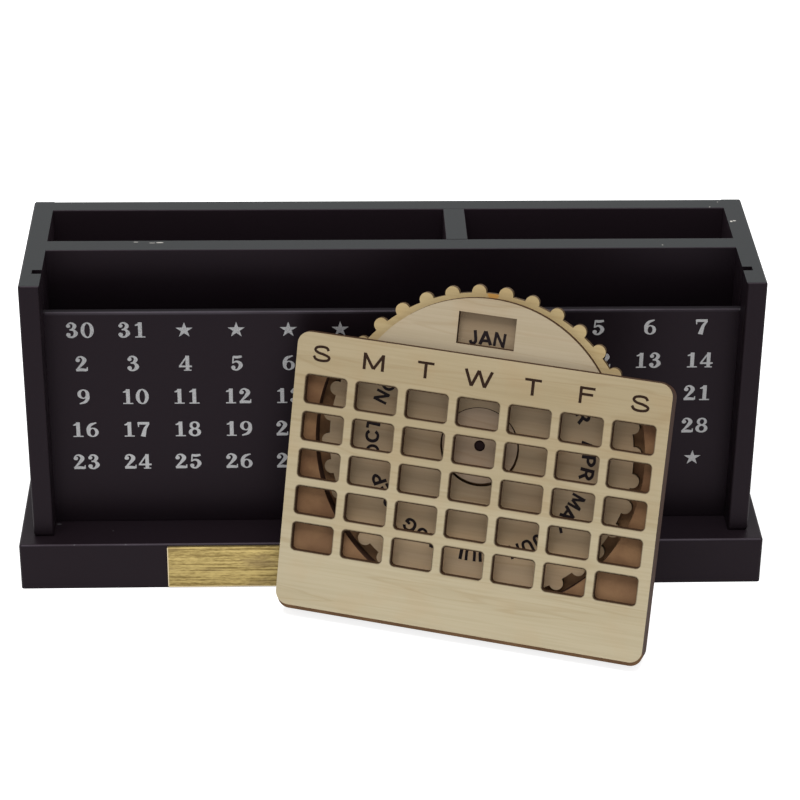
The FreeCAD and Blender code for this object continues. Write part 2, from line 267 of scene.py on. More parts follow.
def hang_lamp():
    """Square soft lamp over the object, turned towards it."""
    data = bpy.data.lights.new("overhead", "AREA")
    data.shape = "SQUARE"
    data.size = lamp_side
    data.energy = lamp_watts
    lamp = bpy.data.objects.new("overhead", data)
    aim = (Vector(lamp_target) - Vector(lamp_place)).to_track_quat("-Z", "Y")
    lamp.matrix_world = Matrix.Translation(lamp_place) @ aim.to_matrix().to_4x4()
    bpy.context.scene.collection.objects.link(lamp)


def floor_paper():
    """White paper: plain diffuse, lifted to white where the camera or a gloss sees it."""
    material = bpy.data.materials.new("floor_paper")
    material.use_nodes = True
    tree = material.node_tree
    tree.nodes.clear()
    paths = add(tree, "ShaderNodeLightPath").outputs
    shiny = maths(tree, "MAXIMUM", paths["Is Glossy Ray"], paths["Is Transmission Ray"])
    lifted = maths(tree, "MULTIPLY", paths["Is Camera Ray"], paper_seen_lift)
    strength = maths(tree, "MAXIMUM", lifted, maths(tree, "MULTIPLY", shiny, paper_gloss_lift))
    lift = add(tree, "ShaderNodeEmission", {"Strength": strength})
    paper = add(tree, "ShaderNodeBsdfDiffuse", {"Color": (paper_white,) * 3 + (1,)})
    both = add(tree, "ShaderNodeAddShader", {0: paper.outputs[0], 1: lift.outputs[0]})
    add(tree, "ShaderNodeOutputMaterial", {"Surface": both.outputs[0]})
    return material


def light_world():
    """Even light from all round; white where the camera or a gloss sees it."""
    world = bpy.data.worlds.new("studio")
    world.use_nodes = True
    tree = world.node_tree
    tree.nodes.clear()
    paths = add(tree, "ShaderNodeLightPath").outputs
    seen = maths(tree, "MAXIMUM", paths["Is Camera Ray"], paths["Is Glossy Ray"])
    seen = maths(tree, "MAXIMUM", seen, paths["Is Transmission Ray"])
    white = (1, 1, 1, 1)
    around = add(tree, "ShaderNodeBackground", {"Color": white, "Strength": world_strength})
    seen_white = add(tree, "ShaderNodeBackground", {"Color": white, "Strength": 1.0})
    both = add(
        tree, "ShaderNodeMixShader", {0: seen, 1: around.outputs[0], 2: seen_white.outputs[0]}
    )
    add(tree, "ShaderNodeOutputWorld", {"Surface": both.outputs[0]})
    bpy.context.scene.world = world


def lay_floor():
    """Flat square of paper under the object."""
    corners = [(x * floor_half, y * floor_half, -floor_drop)
               for x, y in ((-1, -1), (1, -1), (1, 1), (-1, 1))]
    floor = bpy.data.objects.new("floor", bpy.data.meshes.new("floor"))
    floor.data.from_pydata(corners, [], [(0, 1, 2, 3)])
    floor.data.materials.append(floor_paper())
    bpy.context.scene.collection.objects.link(floor)


# ---------------------------------------------------------------------------
# Node helpers
# ---------------------------------------------------------------------------
VECTOR, VALUE = "NodeSocketVector", "NodeSocketFloat"


def add(tree, kind, sockets=None, **settings):
    """Node of a kind. Each socket takes a plain value, or a link from another socket."""
    node = tree.nodes.new(kind)
    for key, value in settings.items():
        setattr(node, key, value)
    for key, value in (sockets or {}).items():
        if isinstance(value, bpy.types.NodeSocket):
            tree.links.new(value, node.inputs[key])
        else:
            node.inputs[key].default_value = value
    return node


def maths(tree, operation, a, b=0.0):
    """Result of one sum on two values."""
    return add(tree, "ShaderNodeMath", {0: a, 1: b}, operation=operation).outputs[0]


def vector_maths(tree, operation, a, b=(0.0, 0.0, 0.0)):
    """Result of one sum on two vectors: a vector, or a value where the sum gives one."""
    made = add(tree, "ShaderNodeVectorMath", {0: a, 1: b}, operation=operation).outputs
    single = operation in ("DOT_PRODUCT", "DISTANCE", "LENGTH")
    return made["Value"] if single else made["Vector"]


def axes(tree, position):
    """The three parts of a position, by the names X, Y and Z."""
    return add(tree, "ShaderNodeSeparateXYZ", {0: position}).outputs


def times_plus(tree, value, factor, extra):
    """Value times a factor, plus something more."""
    sockets = {0: value, 1: factor, 2: extra}
    return add(tree, "ShaderNodeMath", sockets, operation="MULTIPLY_ADD").outputs[0]


def step_between(tree, value, low, high):
    """Smooth step from 0 at low to 1 at high."""
    node = add(
        tree,
        "ShaderNodeMapRange",
        {"Value": value, "From Min": low, "From Max": high},
        interpolation_type="SMOOTHSTEP",
    )
    return node.outputs["Result"]


def step_over(tree, value, places):
    """Smooth step from 0 at the first to 1 at the second of two places in millimetres."""
    return step_between(tree, value, places[0] * MM, places[1] * MM)


def blend_colour(tree, factor, a, b, kind="MIX"):
    """Colour a, with colour b laid over it by a factor."""
    node = add(tree, "ShaderNodeMix", {0: factor, 6: a, 7: b}, data_type="RGBA", blend_type=kind)
    return node.outputs[2]


def group(name, inputs, outputs):
    """Empty shader node group. Each input is a name, a socket kind and a start value."""
    tree = bpy.data.node_groups.new(name, "ShaderNodeTree")
    for label, kind, value in inputs:
        socket = tree.interface.new_socket(name=label, in_out="INPUT", socket_type=kind)
        if value is not None:
            socket.default_value = value
    for label, kind in outputs:
        tree.interface.new_socket(name=label, in_out="OUTPUT", socket_type=kind)
    return tree, add(tree, "NodeGroupInput").outputs, add(tree, "NodeGroupOutput").inputs


def use(tree, made, sockets):
    """Outputs of a group placed in a material."""
    return add(tree, "ShaderNodeGroup", sockets, node_tree=made).outputs


def fibre_group():
    """Wood fibre: noise drawn out along x, in fine lines and in broad soft bands.

    The rings are thin lines where the broad noise passes evenly spaced values.
    """
    tree, given, made = group(
        "wood_fibre",
        [("Position", VECTOR, None)],
        [("Fine", VALUE), ("Broad", VALUE), ("Rings", VALUE)],
    )
    for label, stretch in (("Fine", fibre_fine), ("Broad", fibre_broad)):
        drawn = vector_maths(tree, "MULTIPLY", given["Position"], stretch)
        noise = add(
            tree,
            "ShaderNodeTexNoise",
            {"Vector": drawn, "Scale": 1.0, "Detail": 3.0, "Distortion": 0.4},
        ).outputs["Fac"]
        tree.links.new(noise, made[label])
    away = maths(tree, "PINGPONG", maths(tree, "SUBTRACT", noise, 0.3), ring_spacing)
    tree.links.new(step_between(tree, away, 0.014, 0.002), made["Rings"])
    return tree


def mottle_group():
    """Uneven patches and fine specks, from two sizes of noise."""
    tree, given, made = group(
        "mottle",
        [("Position", VECTOR, None), ("Patch", VALUE, 40.0), ("Speck", VALUE, 900.0)],
        [("Patches", VALUE), ("Specks", VALUE)],
    )
    for label, size, detail in (("Patches", "Patch", 3.0), ("Specks", "Speck", 2.0)):
        noise = add(
            tree,
            "ShaderNodeTexNoise",
            {"Vector": given["Position"], "Scale": given[size], "Detail": detail},
        )
        tree.links.new(noise.outputs["Fac"], made[label])
    return tree


def spot_group():
    """Ragged spot: 1 within a radius of a centre, its rim moved in and out by noise."""
    tree, given, made = group(
        "ragged_spot",
        [("Position", VECTOR, None), ("Centre", VECTOR, None), ("Radius", VALUE, 0.001),
         ("Stretch", VECTOR, (1.0, 1.0, 1.0))],
        [("Mask", VALUE)],
    )
    away = vector_maths(tree, "SUBTRACT", given["Position"], given["Centre"])
    length = vector_maths(tree, "LENGTH", vector_maths(tree, "MULTIPLY", away, given["Stretch"]))
    noise = add(tree, "ShaderNodeTexNoise",
                {"Vector": given["Position"], "Scale": 1400.0, "Detail": 2.0})
    wobble = times_plus(tree, noise.outputs["Fac"], 0.9, 0.55)
    reach = maths(tree, "MULTIPLY", given["Radius"], wobble)
    ratio = maths(tree, "DIVIDE", length, reach)
    tree.links.new(step_between(tree, ratio, 1.15, 0.85), made["Mask"])
    return tree


def facing_group():
    """How squarely a surface faces along a direction, or along it and back.

    Both are 1 when it does and 0 once it is turned well away, by smooth steps of the cosine.
    """
    tree, given, made = group(
        "facing",
        [("Normal", VECTOR, None), ("Along", VECTOR, (0.0, 0.0, 1.0))],
        [("Front", VALUE), ("Either", VALUE)],
    )
    dot = vector_maths(tree, "DOT_PRODUCT", given["Normal"], given["Along"])
    tree.links.new(step_between(tree, dot, 0.7, 0.98), made["Front"])
    either = maths(tree, "ABSOLUTE", dot)
    tree.links.new(step_between(tree, either, 0.6, 0.85), made["Either"])
    return tree


def window_rim_group():
    """Laser scorch round the windows, deepened as painted shade, fading out over a width from
    their edges.

    Each point is folded into one cell of the grid, and its distance to that cell's round-cornered
    window is the length of what is left once the window's half size, less its corner, is taken
    off, less the corner's radius.
    """
    tree, given, made = group(
        "window_rim",
        [("Position", VECTOR, None), ("Width", VALUE, scorch_and_shade_width * MM)],
        [("Scorch", VALUE)],
    )
    split = axes(tree, given["Position"])
    over, inside = [], []
    for axis, count, middle in ((0, window_columns, 0.0), (1, window_rows, grid_middle_y)):
        pitch = window_pitch[axis] * MM
        first = (middle + painted_shade_shift[axis]) * MM - pitch / 2
        folded = maths(tree, "FLOORED_MODULO", maths(tree, "SUBTRACT", split[axis], first), pitch)
        out = maths(tree, "ABSOLUTE", maths(tree, "SUBTRACT", folded, pitch / 2))
        inner = (window_half[axis] - window_round) * MM
        over.append(maths(tree, "MAXIMUM", maths(tree, "SUBTRACT", out, inner), 0.0))
        away = maths(tree, "ABSOLUTE", maths(tree, "SUBTRACT", split[axis], middle * MM))
        half = count * window_pitch[axis] / 2
        inside.append(step_over(tree, away, (half, half - scorch_and_shade_end)))
    squares = [maths(tree, "POWER", o, 2.0) for o in over]
    length = maths(tree, "SQRT", maths(tree, "ADD", *squares))
    gap = maths(tree, "SUBTRACT", length, window_round * MM)
    near = step_between(tree, maths(tree, "DIVIDE", gap, given["Width"]), 1.0, 0.0)
    inside = maths(tree, "MULTIPLY", *inside)
    tree.links.new(maths(tree, "MULTIPLY", near, inside), made["Scorch"])
    return tree


FIBRE = fibre_group()
MOTTLE = mottle_group()
SPOT = spot_group()
FACING = facing_group()
WINDOW_RIM = window_rim_group()


# ---------------------------------------------------------------------------
# Materials. The two numbers of a step over a noise are levels of it, from 0 to 1.
# ---------------------------------------------------------------------------
def finish_for(name, **shader):
    """New material with its Principled shader's plain numbers set, and its coordinates."""
    material = bpy.data.materials.new(name)
    material.use_nodes = True
    tree = material.node_tree
    surface = tree.nodes["Principled BSDF"]
    for key, value in shader.items():
        surface.inputs[key.replace("_", " ")].default_value = value
    place = add(tree, "ShaderNodeTexCoord").outputs
    return material, tree, surface, place


def roughen(tree, surface, height, strength, distance):
    """Bump from a height, into the shader's normal."""
    bump = add(
        tree, "ShaderNodeBump", {"Height": height, "Strength": strength, "Distance": distance}
    )
    tree.links.new(bump.outputs["Normal"], surface.inputs["Normal"])


def flat_on_card(tree, place):
    """Coordinates of the flat card, in metres."""
    mapping = add(tree, "ShaderNodeMapping", {"Vector": place["Object"]}, vector_type="TEXTURE")
    mapping.inputs["Location"].default_value = CARD.translation
    mapping.inputs["Rotation"].default_value = CARD.to_euler("XYZ")
    return mapping.outputs["Vector"]


def on_sheet(tree, place):
    """1 on the flat faces of the card's sheets, 0 on their cut walls."""
    return use(tree, FACING, {"Normal": place["Normal"], "Along": CARD_NORMAL})["Either"]


def tinted(colour, factor):
    """Colour made lighter or darker by a factor."""
    return tuple(channel * factor for channel in colour[:3]) + (1,)


def spots(tree, position, places):
    """Mask of several ragged spots. Each has a centre and a radius in mm, and a stretch."""
    found = None
    for centre, radius, stretch in places:
        sockets = {
            "Position": position,
            "Centre": Vector(centre) * MM,
            "Radius": radius * MM,
            "Stretch": stretch,
        }
        mask = use(tree, SPOT, sockets)["Mask"]
        found = mask if found is None else maths(tree, "MAXIMUM", found, mask)
    return found


def black_paint():
    """Satin black paint, lifted lighter inside the rear compartments as painted light, and grey on
    the top edges, partly dust and partly painted sheen.

    Two long edges are lighter in patches, partly worn by rubbing and partly painted highlight,
    and there are a few chips and scuffs.
    """
    material, tree, surface, place = finish_for(
        "black_paint", Specular_IOR_Level=0.16, Specular_Tint=paint_sheen
    )
    mottle = use(tree, MOTTLE, {"Position": place["Object"], "Patch": 22.0, "Speck": 1300.0})
    paint = blend_colour(tree, mottle["Patches"], paint_warm, paint_cool)
    split = axes(tree, place["Object"])
    sideways = maths(tree, "ABSOLUTE", split["X"])
    front, back, half_width, rim = (limit * MM for limit in rear_room)
    # painted light: the black is lifted lighter inside the rear compartments
    inner = maths(tree, "GREATER_THAN", split["Y"], front)
    for value, limit in ((split["Y"], back), (sideways, half_width), (split["Z"], rim)):
        inner = maths(tree, "MULTIPLY", inner, maths(tree, "LESS_THAN", value, limit))
    paint = blend_colour(tree, inner, paint, paint_inside_painted_light)
    # grey on upward faces high up: partly dust, partly painted sheen
    upward = use(tree, FACING, {"Normal": place["Normal"]})["Front"]
    dust_and_sheen = maths(tree, "MULTIPLY", upward, step_over(tree, split["Z"], dust_and_sheen_z))
    dust_and_sheen = maths(tree, "MULTIPLY", dust_and_sheen, times_plus(tree, mottle["Patches"], 0.4, 0.55))
    colour = blend_colour(tree, dust_and_sheen, paint, paint_dust_and_sheen)
    across = vector_maths(tree, "MULTIPLY", place["Object"], (0, 1, 1))
    patchy = times_plus(tree, step_between(tree, mottle["Patches"], 0.36, 0.66), 0.55, 0.25)
    # partly wear, partly painted highlight along the edges' rounding
    for y, z, width, half_length in rubbed_and_highlit_edges:
        away = vector_maths(tree, "DISTANCE", across, (0, y * MM, z * MM))
        near = step_over(tree, away, (width, width * 0.4))
        within = maths(tree, "LESS_THAN", sideways, half_length * MM)
        lightened_edge = maths(tree, "MULTIPLY", maths(tree, "MULTIPLY", near, within), patchy)
        colour = blend_colour(tree, lightened_edge, colour, paint_rubbed_and_highlight)
    bare = spots(tree, place["Object"], paint_chips)
    colour = blend_colour(tree, bare, colour, primer)
    scuffed = spots(tree, place["Object"], paint_scuffs)
    scuffed = maths(tree, "MULTIPLY", scuffed, scuff_strength)
    colour = blend_colour(tree, scuffed, colour, paint_scuffed)
    tree.links.new(colour, surface.inputs["Base Color"])
    tree.links.new(times_plus(tree, mottle["Patches"], 0.10, 0.38), surface.inputs["Roughness"])
    roughen(tree, surface, mottle["Specks"], 0.08, 0.0003)
    return material


def number_ink():
    """Light grey screen print, thin in places and lighter in the low rows and on the right."""
    material, tree, surface, place = finish_for("number_ink", Roughness=0.6)
    mottle = use(tree, MOTTLE, {"Position": place["Object"], "Patch": 160.0, "Speck": 2200.0})
    worn = step_between(tree, mottle["Specks"], 0.36, 0.6)
    shade = blend_colour(tree, worn, ink_thin, ink_full)
    split = axes(tree, place["Object"])
    lighter_print = maths(tree, "MAXIMUM", step_over(tree, split["Z"], lighter_print_z),
                   step_over(tree, split["X"], lighter_print_x))
    lighter_print = maths(tree, "MULTIPLY", lighter_print, lighter_print_strength)
    shade = blend_colour(tree, lighter_print, shade, ink_lightest)
    tree.links.new(shade, surface.inputs["Base Color"])
    return material


def brushed_brass():
    """Brass brushed lengthways and dull in patches, with a painted highlight along its ends and
    lower edge and painted shade towards its foot.

    The brushing is a sum of three noises, two drawn far out along the strip and one a little.
    """
    material, tree, surface, place = finish_for("brushed_brass", Metallic=1.0)
    noises = []
    for squeeze, patch, speck in ((0.025, 1150.0, 3000.0), (0.28, 150.0, 1800.0)):
        drawn = vector_maths(tree, "MULTIPLY", place["Object"], (squeeze, 1, 1))
        noises.append(use(tree, MOTTLE, {"Position": drawn, "Patch": patch, "Speck": speck}))
    far, little = noises
    lines = times_plus(tree, far["Patches"], 0.46, maths(tree, "MULTIPLY", far["Specks"], 0.30))
    streaks = step_between(tree, times_plus(tree, little["Specks"], 0.24, lines), 0.38, 0.60)
    colour = blend_colour(tree, streaks, brass_dark, brass_light)
    dull = step_between(tree, little["Patches"], 0.52, 0.72)
    dull = maths(tree, "MULTIPLY", dull, dull_strength)
    colour = blend_colour(tree, dull, colour, brass_dull)
    split = axes(tree, place["Object"])
    # painted shade: darker towards the plate's foot
    foot_shade = step_over(tree, split["Z"], brass_shade_z)
    colour = blend_colour(tree, foot_shade, colour, brass_foot_shade, "MULTIPLY")
    # painted highlight along the ends and the foot
    end = plate_half_length - plate_bevel
    ends = step_over(tree, maths(tree, "ABSOLUTE", split["X"]), (end, end + plate_bevel / 2))
    foot = plate_low_z + plate_bevel
    low = step_over(tree, split["Z"], (foot, foot - plate_bevel / 2))
    lightened_edge = maths(tree, "MULTIPLY", maths(tree, "MAXIMUM", ends, low), bevel_highlight_strength)
    colour = blend_colour(tree, lightened_edge, colour, brass_highlight)
    tree.links.new(colour, surface.inputs["Base Color"])
    tree.links.new(times_plus(tree, streaks, -0.12, 0.46), surface.inputs["Roughness"])
    roughen(tree, surface, lines, 0.10, 0.0002)
    return material


def birch(name, pale, char, scorched_and_shaded_windows=False, upper=None, middle=None, marks=()):
    """Pale plywood, cut by laser: calm grain on the sheet's faces, char on its cut walls.

    The face may turn towards another colour up the card. The dial's middle and its part below
    the face sheet's top may take a darker colour of their own, a painted shade for where the
    month cover and the face sheet shade it, lighter low down. Each mark is a colour, its
    strength and its spot: a real amber mark, or a patch of painted shade.
    """
    material, tree, surface, place = finish_for(name, Roughness=0.62, Specular_IOR_Level=0.12)
    flat = flat_on_card(tree, place)
    fibre = use(tree, FIBRE, {"Position": flat})
    mottle = use(tree, MOTTLE, {"Position": flat, "Patch": 55.0, "Speck": 1500.0})
    colour = pale
    rise = axes(tree, flat)["Y"]
    if upper:
        colour = blend_colour(tree, step_over(tree, rise, face_high_y), colour, upper)
    if middle:
        level = vector_maths(tree, "MULTIPLY", flat, (1, 1, 0))
        away = vector_maths(tree, "DISTANCE", level, Vector((*dial_middle, 0)) * MM)
        # painted shade: darker under the month cover and below the face sheet's top
        painted_shade_mask = maths(tree, "MAXIMUM", step_over(tree, away, shaded_radius),
                       step_over(tree, rise, shaded_low_y))
        low = step_over(tree, rise, dial_low_y)
        tone = blend_colour(tree, low, middle, tinted(middle, dial_low_lift))
        colour = blend_colour(tree, painted_shade_mask, colour, tone)
    layers = (
        (step_between(tree, fibre["Fine"], 0.62, 0.34), 0.28, grain_fine),
        (step_between(tree, fibre["Broad"], 0.40, 0.66), 0.60, grain_broad),
        (fibre["Rings"], 0.38, grain_ring),
        (step_between(tree, mottle["Patches"], 0.46, 0.68), 0.5, grain_patch),
    )
    for mask, strength, shade in layers:
        weight = maths(tree, "MULTIPLY", mask, strength)
        colour = blend_colour(tree, weight, colour, shade, "MULTIPLY")
    if scorched_and_shaded_windows:
        # real scorch, darkened further and shifted up and left as painted shade
        rim = use(tree, WINDOW_RIM, {"Position": flat})["Scorch"]
        ragged = maths(tree, "MULTIPLY", rim, times_plus(tree, mottle["Specks"], 0.6, 0.7))
        colour = blend_colour(tree, ragged, colour, scorch_and_shade_brown)
    # each mark is a real amber mark, or a patch of painted shade
    for stain_and_shade_colour, strength, *spot in marks:
        stain_and_shade_weight = maths(tree, "MULTIPLY", spots(tree, flat, [spot]), strength)
        colour = blend_colour(tree, stain_and_shade_weight, colour, stain_and_shade_colour)
    burnt = blend_colour(tree, mottle["Specks"], char, tinted(char, char_speck_shade))
    colour = blend_colour(tree, on_sheet(tree, place), burnt, colour)
    tree.links.new(colour, surface.inputs["Base Color"])
    roughen(tree, surface, fibre["Fine"], 0.06, 0.0003)
    return material


def brown_board(name, shade=1.0):
    """Brown fibreboard, blotchy, paler low down, with dark cut walls. A shade under 1 darkens it,
    a painted shade for the sheet lying in shade behind the face sheet.
    """
    material, tree, surface, place = finish_for(name, Roughness=0.68, Specular_IOR_Level=0.12)
    flat = flat_on_card(tree, place)
    mottle = use(tree, MOTTLE, {"Position": flat, "Patch": 70.0, "Speck": 1100.0})
    blotches = step_between(tree, mottle["Patches"], 0.35, 0.68)
    colour = blend_colour(tree, blotches, tinted(board_dark, shade), tinted(board_light, shade))
    specks = maths(tree, "MULTIPLY", mottle["Specks"], board_speck_strength)
    colour = blend_colour(tree, specks, colour, board_speck)
    low = step_over(tree, axes(tree, flat)["Y"], board_low_y)
    low = maths(tree, "MULTIPLY", low, board_low_strength)
    colour = blend_colour(tree, low, colour, board_pale)
    colour = blend_colour(tree, on_sheet(tree, place), board_edge, colour)
    tree.links.new(colour, surface.inputs["Base Color"])
    roughen(tree, surface, mottle["Specks"], 0.15, 0.0004)
    return material


def plain_with_specks(name, dark, light, rough, metal=0.0):
    """Even finish with fine specks between two shades."""
    material, tree, surface, place = finish_for(
        name, Roughness=rough, Metallic=metal, Specular_IOR_Level=0.08
    )
    mottle = use(tree, MOTTLE, {"Position": place["Object"], "Patch": 200.0, "Speck": 1800.0})
    tree.links.new(blend_colour(tree, mottle["Specks"], dark, light), surface.inputs["Base Color"])
    return material


# ---------------------------------------------------------------------------
# Flat pen strokes: a rectangular section carried along a path, as one closed solid
# ---------------------------------------------------------------------------
def through(points, widths, count=14):
    """Catmull-Rom curve through points, with the pen's half width eased between them.

    One more point is set beyond each end, as far on as its neighbour is back. Between b and c
    the place is half of 2b + (c-a)t + (2a-5b+4c-d)t^2 + (3b-a-3c+d)t^3.
    """
    pts = np.column_stack([np.asarray(points, float), np.asarray(widths, float)])
    ext = np.vstack([2 * pts[0] - pts[1], pts, 2 * pts[-1] - pts[-2]])
    a, b, c, d = ext[:-3], ext[1:-2], ext[2:-1], ext[3:]
    t = np.linspace(0, 1, count, endpoint=False)[None, :, None]
    a, b, c, d = (e[:, None, :] for e in (a, b, c, d))
    curve = 0.5 * (2 * b + (c - a) * t + (2 * a - 5 * b + 4 * c - d) * t ** 2
                   + (3 * b - a - 3 * c + d) * t ** 3)
    path = np.vstack([curve.reshape(-1, 3), pts[-1:]])
    tangent = np.gradient(path[:, :2], axis=0)
    tangent /= np.linalg.norm(tangent, axis=1)[:, None]
    side = np.column_stack([-tangent[:, 1], tangent[:, 0]]) * path[:, 2:]
    return path[:, :2] + side, path[:, :2] - side, False


def bar(start, end, half_start, half_end=None):
    """Straight stroke between two points, with square ends."""
    half_end = half_start if half_end is None else half_end
    ends = np.array([start, end], float)
    way = (ends[1] - ends[0]) / np.linalg.norm(ends[1] - ends[0])
    side = np.array([[-way[1], way[0]]]) * np.array([[half_start], [half_end]])
    return ends + side, ends - side, False


def ring(middle, outer, inner, count=40):
    """Closed stroke between two ellipses with one middle."""
    t = np.linspace(0, 2 * np.pi, count, endpoint=False)[:, None]
    wave = np.hstack([np.cos(t), np.sin(t)])
    return np.array(middle) + wave * outer, np.array(middle) + wave * inner, True


def blob(middle, radius):
    """Round dot, as a ring with hardly any hole."""
    return ring(middle, (radius, radius), (radius * 0.02, radius * 0.02), 20)


def star(radius):
    """Regular five-pointed star: ten points at turns of 36 degrees, every second one nearer."""
    t = np.pi / 2 + np.arange(10) * np.pi / 5
    reach = np.where(np.arange(10) % 2 == 0, radius, radius * star_waist)[:, None]
    outer = np.column_stack([np.cos(t), np.sin(t)]) * reach
    return outer, outer * 0.01, True


def stroke_solid(stroke, low, high):
    """Vertices and faces of a stroke: four corners at each station, joined station to station."""
    left, right, closed = stroke
    n = len(left)
    corners = np.zeros((n, 4, 3))
    corners[:, 0, :2] = corners[:, 1, :2] = left
    corners[:, 2, :2] = corners[:, 3, :2] = right
    corners[:, (0, 3), 2] = low
    corners[:, (1, 2), 2] = high
    stations = np.arange(n if closed else n - 1)[:, None]
    k = np.arange(4)[None, :]
    following = (stations + 1) % n
    quads = np.stack(
        np.broadcast_arrays(
            stations * 4 + k, stations * 4 + (k + 1) % 4, following * 4 + (k + 1) % 4,
            following * 4 + k
        ),
        axis=-1,
    ).reshape(-1, 4)
    if not closed:
        caps = np.array([[3, 2, 1, 0], np.arange(4) + 4 * (n - 1)])
        quads = np.vstack([quads, caps])
    return corners.reshape(-1, 3), quads


def joined(solids):
    """One vertex array and one face array from several."""
    vertices, faces, start = [], [], 0
    for points, quads in solids:
        vertices.append(points)
        faces.append(quads + start)
        start += len(points)
    return np.vstack(vertices), np.vstack(faces)


def piece(name, vertices, faces, place, material, body):
    """Object from arrays in millimetres, put in place, its faces turned outward."""
    at = np.array(place)
    points = vertices * MM @ at[:3, :3].T + at[:3, 3]
    mesh = bpy.data.meshes.new(name)
    mesh.from_pydata(points.tolist(), [], faces.tolist())
    soup = bmesh.new()
    soup.from_mesh(mesh)
    bmesh.ops.recalc_face_normals(soup, faces=soup.faces)
    soup.to_mesh(mesh)
    soup.free()
    mesh.materials.append(material)
    made = bpy.data.objects.new(name, mesh)
    bpy.context.scene.collection.objects.link(made)
    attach(made, body)


# ---------------------------------------------------------------------------
# Numbers on the board: bold upright numerals with ball ends, in a unit-high box
# ---------------------------------------------------------------------------
def numerals():
    """Each digit's width and strokes, in units of digit_width sideways and digit_height up."""
    six_bowl = ring((0.36, 0.31), (0.33, 0.315), (0.135, 0.245))
    six_neck = through(
        [(0.13, 0.33), (0.13, 0.58), (0.27, 0.83), (0.58, 0.965)], [0.10, 0.10, 0.085, 0.035]
    )
    turned = [(1 - part[0], 1 - part[1], part[2]) for part in (six_bowl, six_neck)]
    nine = [(l + (-0.28, 0), r + (-0.28, 0), c) for l, r, c in turned]
    return {
        "0": (0.72, [ring((0.36, 0.5), (0.36, 0.515), (0.155, 0.435))]),
        "1": (0.56, [
            bar((0.31, 0.03), (0.31, 1.0), 0.105),
            bar((0.03, 0.035), (0.59, 0.035), 0.035),
            through([(0.04, 0.80), (0.18, 0.85), (0.33, 0.95)], [0.03, 0.06, 0.06], 6),
        ]),
        "2": (0.70, [
            blob((0.155, 0.745), 0.125),
            through(
                [(0.06, 0.76), (0.17, 0.93), (0.36, 0.96), (0.52, 0.75), (0.37, 0.46),
                 (0.10, 0.14)],
                [0.03, 0.04, 0.06, 0.115, 0.085, 0.04],
            ),
            through([(0.04, 0.075), (0.30, 0.10), (0.62, 0.08)], [0.075, 0.095, 0.08], 8),
            bar((0.64, 0.03), (0.66, 0.27), 0.045, 0.025),
        ]),
        "3": (0.70, [
            blob((0.145, 0.78), 0.115),
            blob((0.135, 0.20), 0.125),
            through(
                [(0.06, 0.80), (0.20, 0.955), (0.38, 0.95), (0.49, 0.77), (0.37, 0.57),
                 (0.20, 0.53)],
                [0.03, 0.045, 0.06, 0.105, 0.07, 0.035],
            ),
            through(
                [(0.20, 0.53), (0.42, 0.50), (0.54, 0.28), (0.37, 0.055), (0.16, 0.065),
                 (0.05, 0.19)],
                [0.035, 0.06, 0.115, 0.06, 0.05, 0.04],
            ),
        ]),
        "4": (0.74, [
            bar((0.49, 0.0), (0.49, 1.0), 0.10),
            bar((0.02, 0.285), (0.73, 0.285), 0.055),
            bar((0.055, 0.29), (0.47, 0.97), 0.045),
            bar((0.29, 0.03), (0.70, 0.03), 0.032),
        ]),
        "5": (0.68, [
            through([(0.13, 0.91), (0.36, 0.885), (0.61, 0.93)], [0.075, 0.085, 0.065], 8),
            bar((0.145, 0.95), (0.11, 0.47), 0.04),
            blob((0.13, 0.20), 0.12),
            through(
                [(0.10, 0.49), (0.28, 0.595), (0.46, 0.53), (0.545, 0.32), (0.37, 0.055),
                 (0.16, 0.06), (0.05, 0.18)],
                [0.03, 0.055, 0.085, 0.11, 0.06, 0.05, 0.04],
            ),
        ]),
        "6": (0.70, [six_bowl, six_neck]),
        "7": (0.70, [
            bar((0.05, 0.905), (0.67, 0.905), 0.085),
            bar((0.075, 0.66), (0.055, 0.97), 0.025, 0.045),
            through([(0.64, 0.88), (0.44, 0.54), (0.31, 0.0)], [0.055, 0.09, 0.135], 10),
        ]),
        "8": (0.72, [
            ring((0.36, 0.745), (0.285, 0.265), (0.125, 0.175)),
            ring((0.36, 0.275), (0.345, 0.285), (0.145, 0.185)),
        ]),
        "9": (0.70, nine),
    }


def number_print():
    """Five rows of thirteen numbers on the board's face, with a star where there is none."""
    digits = numerals()
    rows = (
        ["30", "31"] + ["*"] * 4 + [str(n) for n in range(1, 8)],
        [str(n) for n in range(2, 15)],
        [str(n) for n in range(9, 22)],
        [str(n) for n in range(16, 29)],
        [str(n) for n in range(23, 32)] + ["*"] * 4,
    )
    size = (digit_width, digit_height)
    solids = []
    for row, words in enumerate(rows):
        z = number_top_row_z - row * number_pitch_z
        for column, word in enumerate(words):
            x = (column - len(words) // 2) * number_pitch_x + number_middle_x
            strokes = []
            if word == "*":
                strokes.append((star(star_radius), (x, z - star_drop), (1.0, 1.0)))
            for index, digit in enumerate(word if word != "*" else ""):
                width, parts = digits[digit]
                middle = x + (index - (len(word) - 1) / 2) * digit_step
                corner = (middle - width * digit_width / 2, z - digit_height / 2)
                strokes += [(part, corner, size) for part in parts]
            for count, ((one, other, closed), corner, scale) in enumerate(strokes):
                moved = (one * scale + corner, other * scale + corner, closed)
                solids.append(stroke_solid(moved, -mark_sunk, ink_proud + layer_step * count))
    return joined(solids)


